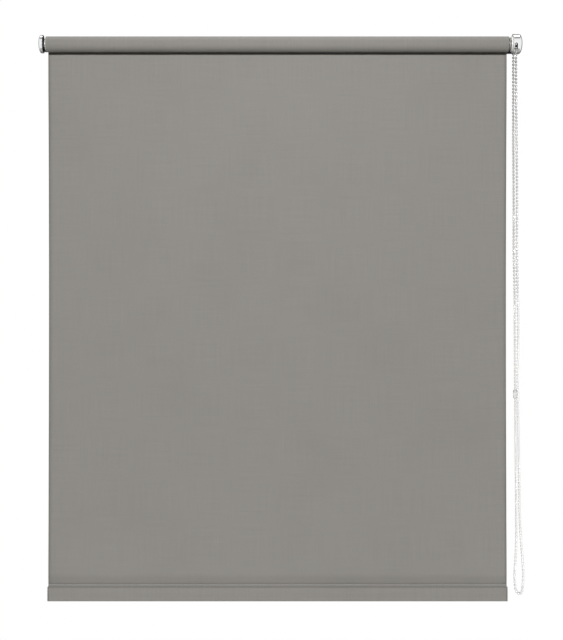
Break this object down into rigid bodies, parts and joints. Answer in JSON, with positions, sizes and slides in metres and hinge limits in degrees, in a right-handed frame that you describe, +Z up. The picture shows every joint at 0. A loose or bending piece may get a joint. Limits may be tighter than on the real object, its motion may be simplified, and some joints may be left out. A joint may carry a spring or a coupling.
{
  "type": "roller blind",
  "caption": "Roller blind: a wound cloth hangs from a tube between two small wall brackets with bright round covers, raised by an endless ball chain.",
  "frame": {"origin": "on the wall, at the height of the roller's axis and midway along the fabric", "axes": "+X along the roller to the chain end, +Y into the wall, +Z up"},
  "size_m": [0.8389, 0.047, 0.986],
  "materials": {
    "cloth": "plain close-woven grey-brown blackout cloth, matt",
    "aluminium": "extruded, mill finish",
    "tape": "double-sided adhesive strip",
    "grey_plastic": "moulded, fine texture, matched to the cloth",
    "black_steel": "pressed steel, black coated",
    "white_plastic": "moulded white plastic",
    "black_plastic": "moulded black plastic",
    "spring_steel": "drawn spring steel",
    "chrome": "bright chrome plating",
    "ball_chain": "nickel-plated steel balls",
    "clear_plastic": "moulded translucent plastic"
  },
  "bodies": {
    "root": {"control_bracket": "black_steel", "clutch_core": "white_plastic", "hub_retainer": "spring_steel", "chain_guard": "white_plastic", "control_cover": "chrome", "bead_chain": "ball_chain", "chain_connector": "clear_plastic", "idle_bracket": "black_steel", "bracket_bush": "white_plastic", "idle_cover": "chrome", "fabric_sheet": "cloth"},
    "roller": {"roller_tube": "aluminium", "adhesive_strip": "tape", "fabric_roll": "cloth", "drive_hub": "black_plastic", "wrap_spring_inner": "spring_steel", "wrap_spring_outer": "spring_steel", "idle_plug": "white_plastic", "spring_seat_ring": "spring_steel", "pin_spring": "spring_steel"},
    "chain_wheel": {"chain_wheel": "black_plastic"},
    "hem": {"hem_pocket": "cloth", "bottom_bar": "aluminium", "bar_cap_left": "grey_plastic", "bar_cap_right": "grey_plastic"},
    "idle_pin": {"idle_pin": "spring_steel"}
  },
  "joints": [
    {"name": "roller_turn", "type": "hinge", "parent": "root", "child": "roller", "pos_m": [0, -0.03, 0], "axis": [1, 0, 0], "range_deg": [0, 3390]},
    {"name": "chain_wheel_turn", "type": "hinge", "parent": "root", "child": "chain_wheel", "pos_m": [0.4111, -0.03, 0], "axis": [1, 0, 0], "range_deg": [0, 3390]},
    {"name": "hem_lift", "type": "slide", "parent": "root", "child": "hem", "axis": [0, 0, 1], "range_m": [0, 0.905], "deforming": ["fabric_sheet"]},
    {"name": "idle_pin_slide", "type": "slide", "parent": "roller", "child": "idle_pin", "axis": [1, 0, 0], "range_m": [0, 0.006], "stiffness_N_per_m": 300, "springref_m": -0.012, "deforming": ["pin_spring"]}
  ],
  "couplings": [
    {"joint": "chain_wheel_turn", "follows": "roller_turn", "ratio": 1},
    {"joint": "hem_lift", "follows": "roller_turn", "m_per_rad": 0.015295}
  ]
}
